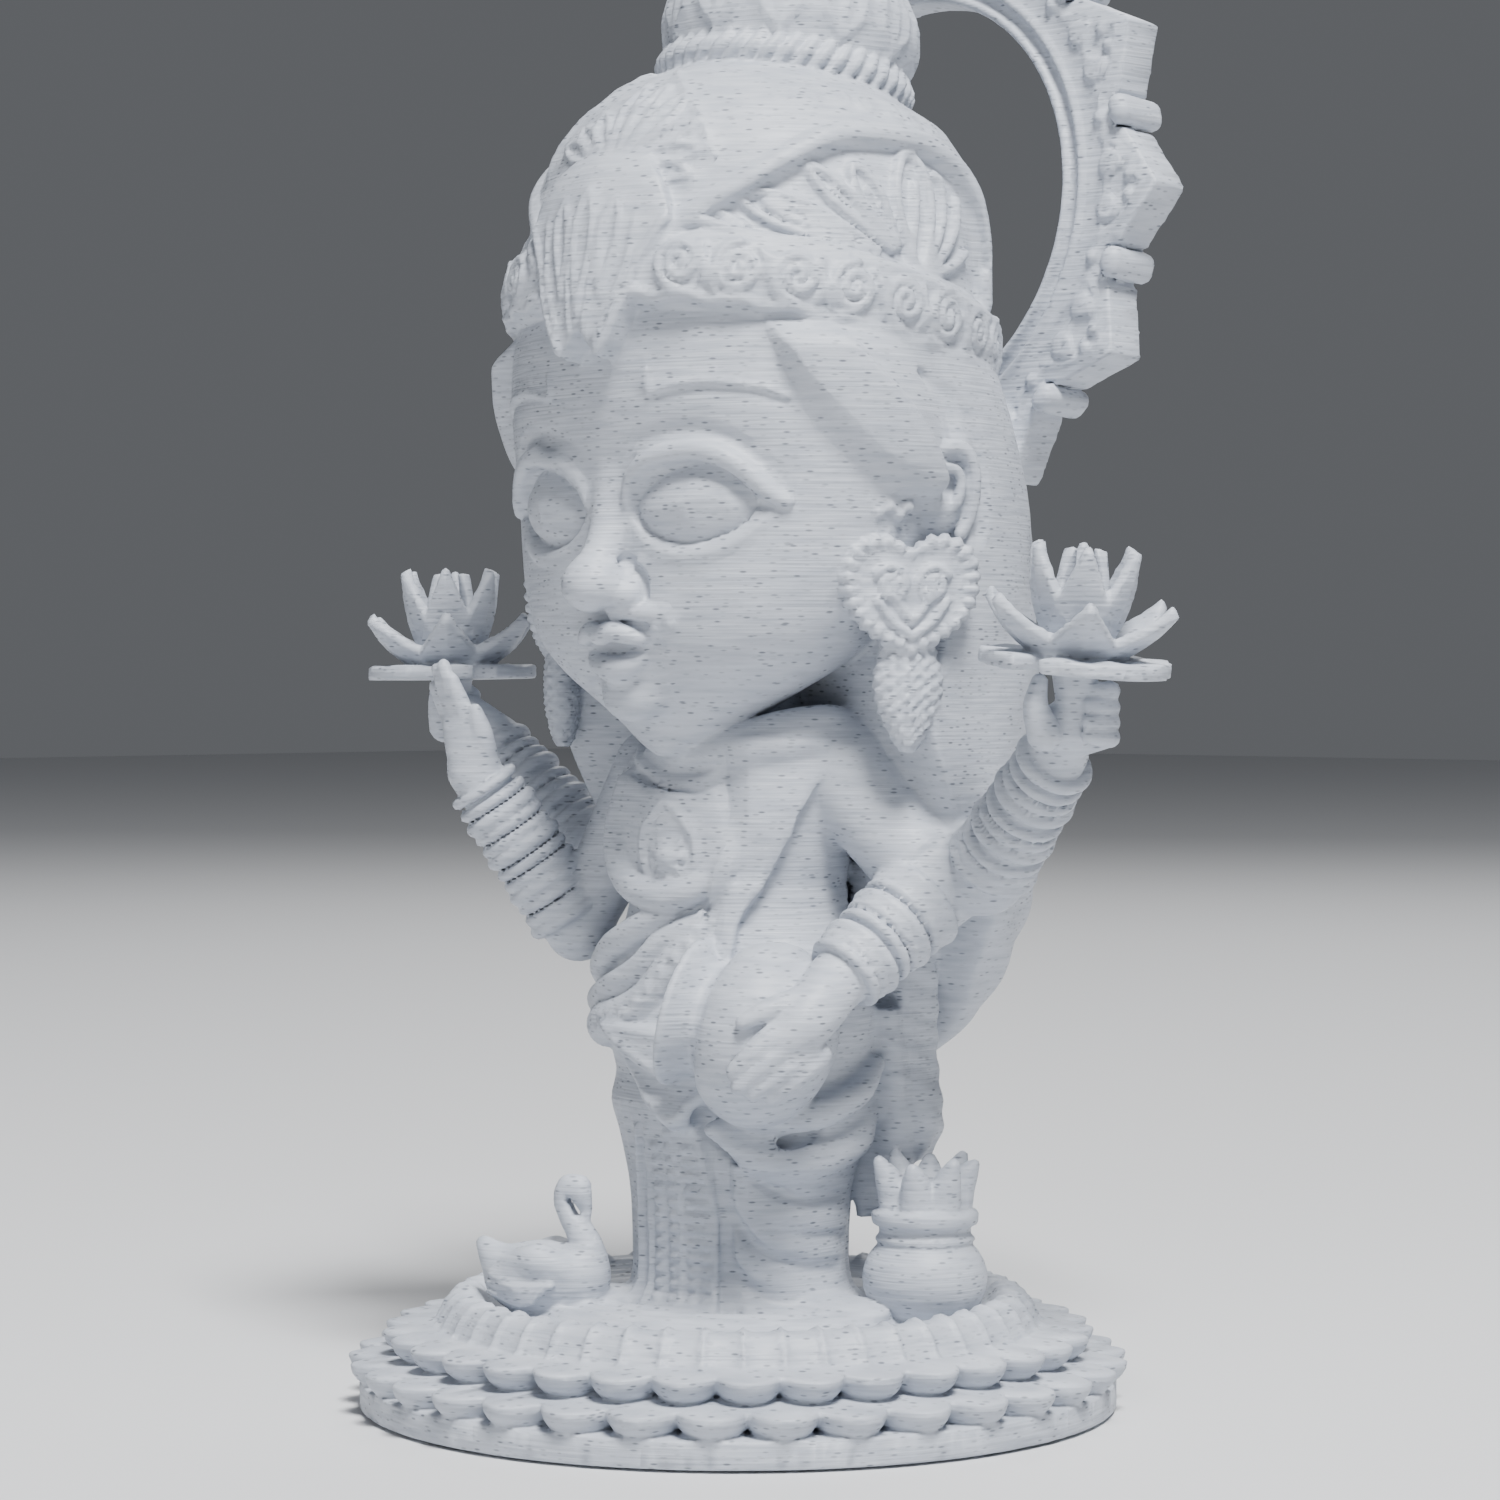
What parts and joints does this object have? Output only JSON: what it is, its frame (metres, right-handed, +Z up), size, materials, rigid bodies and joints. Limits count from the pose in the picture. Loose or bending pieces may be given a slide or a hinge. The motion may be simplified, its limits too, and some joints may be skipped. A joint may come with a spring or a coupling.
{
  "type": "lakshmi figurine",
  "caption": "Doll-like standing goddess figurine with several arms, a turban crown, a toothed halo ring and a long veil, on a round lotus base with a swan and a water pot.",
  "frame": {"origin": "middle of the underside of the round base", "axes": "+Z up, the figure faces -Y, her left is +X"},
  "size_m": [0.1181, 0.0866, 0.1725],
  "materials": {
    "marble_plastic": "pale grey marble-effect printed plastic with small dark flecks and faint layer lines"
  },
  "bodies": {
    "root": {"lakshmi_figurine": "marble_plastic"}
  },
  "joints": []
}
